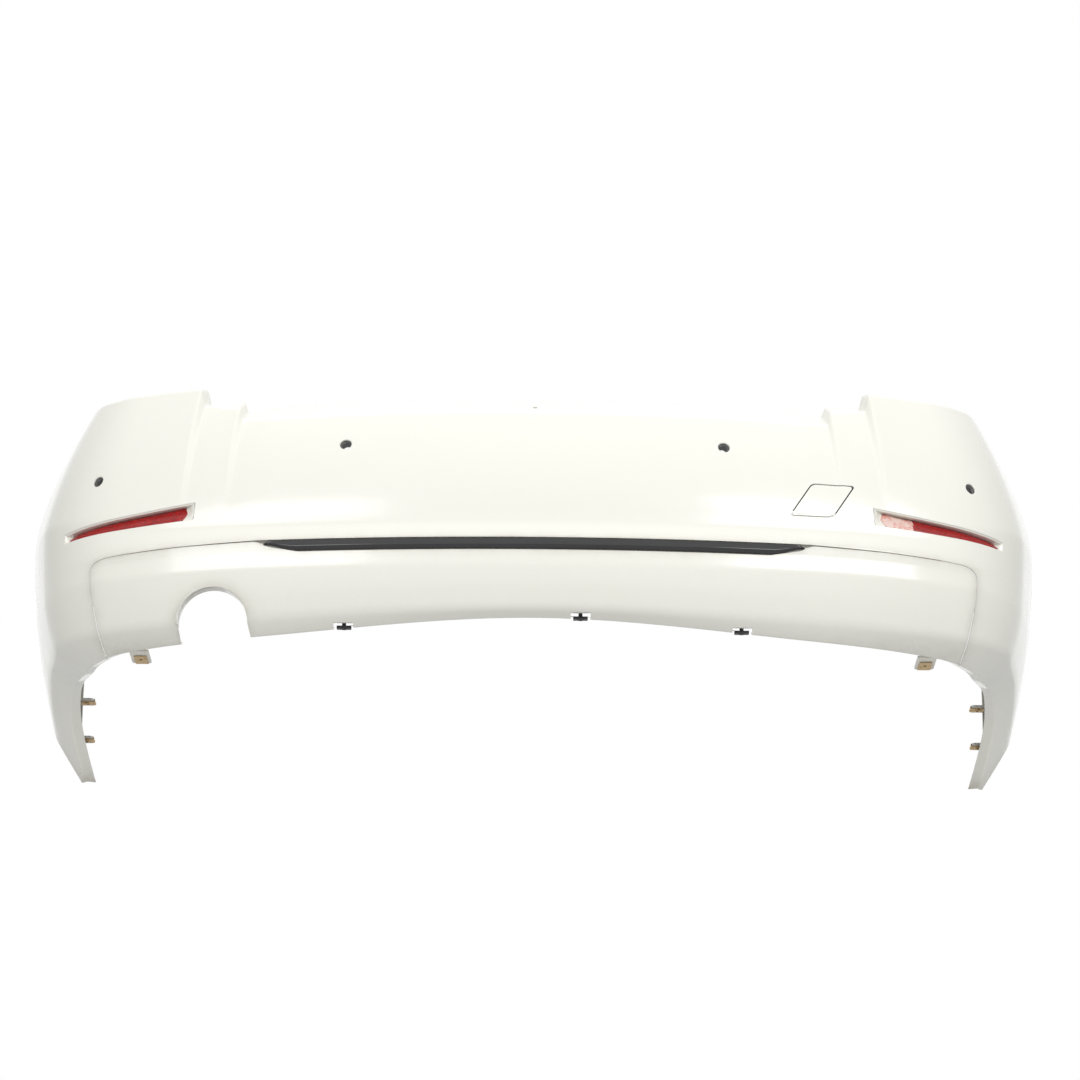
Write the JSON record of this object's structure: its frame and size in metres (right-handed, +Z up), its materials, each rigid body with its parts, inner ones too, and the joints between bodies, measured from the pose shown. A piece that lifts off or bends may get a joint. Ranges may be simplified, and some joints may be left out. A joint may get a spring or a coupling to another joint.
{
  "type": "rear bumper cover",
  "caption": "Painted rear bumper cover of a saloon car: wrap-round wings, lower valance with exhaust cut-out, black trim strip, red reflectors, sensor holders and towing-eye flap.",
  "frame": {"origin": "middle of the centre fixing hole in the upper edge of the cover, in the car's middle plane", "axes": "+X to the car's right, +Y towards the front of the car, +Z up"},
  "size_m": [1.7816, 0.724, 0.564],
  "materials": {
    "paint": "gloss",
    "gloss_black": "gloss",
    "red_reflector": "gloss",
    "dark_plastic": "matte",
    "black_clip": "matte",
    "zinc": "satin",
    "spring_steel": "satin"
  },
  "bodies": {
    "cover": {"bumper_cover": "paint", "valance_panel": "paint", "trim_strip": "gloss_black", "reflector_lens_left": "red_reflector", "reflector_lens_right": "red_reflector", "reflector_back_left": "dark_plastic", "reflector_back_right": "dark_plastic", "reflector_clips_left": "spring_steel", "reflector_clips_right": "spring_steel", "sensor_holder_outer_left": "dark_plastic", "sensor_holder_inner_left": "dark_plastic", "sensor_holder_inner_right": "dark_plastic", "sensor_holder_outer_right": "dark_plastic", "arch_lip_left": "paint", "arch_lip_right": "paint", "arch_nuts_left": "zinc", "arch_nuts_right": "zinc", "lower_nut_left": "zinc", "lower_nut_right": "zinc", "edge_clips": "black_clip", "strip_clips": "spring_steel", "valance_clips": "spring_steel"},
    "flap": {"tow_flap": "paint"}
  },
  "joints": [
    {"name": "tow_flap_hinge", "type": "hinge", "parent": "cover", "child": "flap", "pos_m": [0.42641, -0.02679, -0.17625], "axis": [0.981, 0.1942, 0], "range_deg": [0, 50]}
  ]
}
